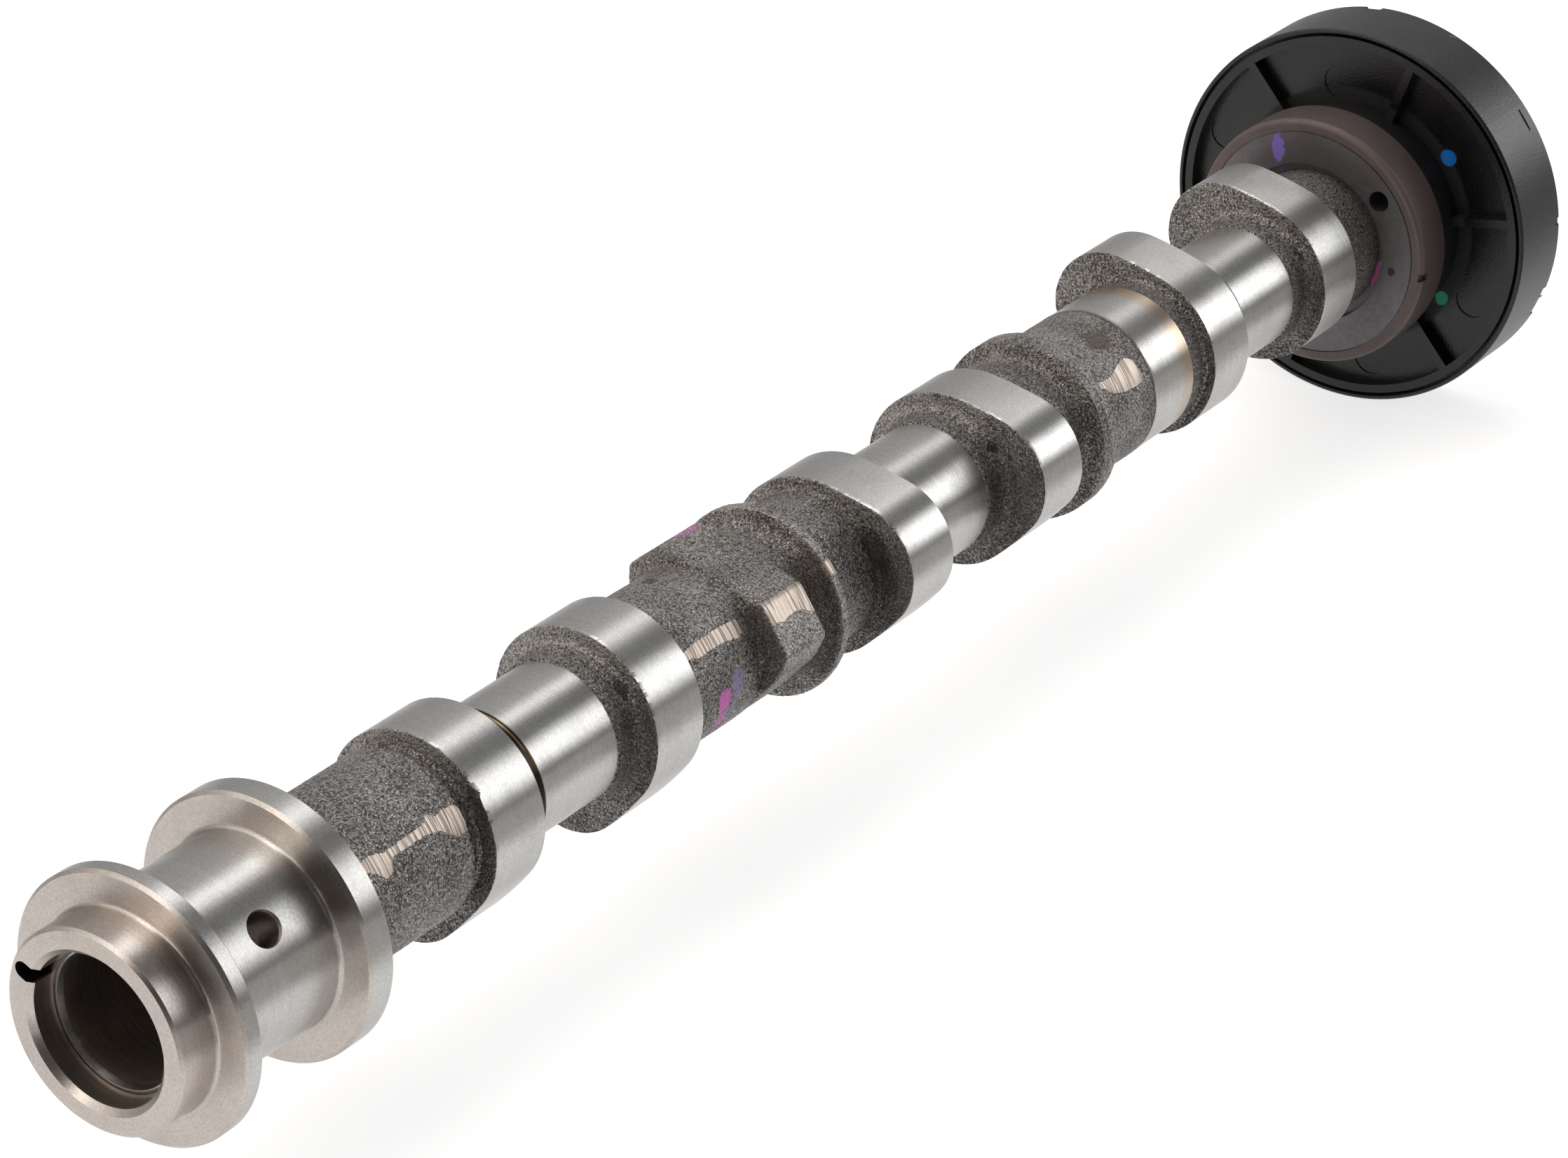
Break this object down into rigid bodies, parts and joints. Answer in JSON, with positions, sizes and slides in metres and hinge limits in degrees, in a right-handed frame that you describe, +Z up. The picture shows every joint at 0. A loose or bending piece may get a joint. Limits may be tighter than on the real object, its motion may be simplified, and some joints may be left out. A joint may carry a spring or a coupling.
{
  "type": "camshaft",
  "caption": "One-piece cast camshaft with paired lobes, ground bearing journals, a flanged front bearing and a ribbed signal wheel on its rear end.",
  "frame": {"origin": "middle of the front bearing journal, on the shaft's axis", "axes": "+X along the shaft from the nose to the signal wheel; +Z up, with the shaft level as in its bearings; +Y completes a right-handed frame"},
  "size_m": [0.3768, 0.0762, 0.0762],
  "materials": {
    "camshaft": "rough cast skin with ground lobes, journals and flanges",
    "wheel_hub": "turned, dull",
    "wheel_carrier": "moulded, satin",
    "magnet_ring": "moulded, satin"
  },
  "bodies": {
    "root": {"camshaft": "camshaft", "wheel_hub": "wheel_hub", "wheel_carrier": "wheel_carrier", "magnet_ring": "magnet_ring"}
  },
  "joints": []
}
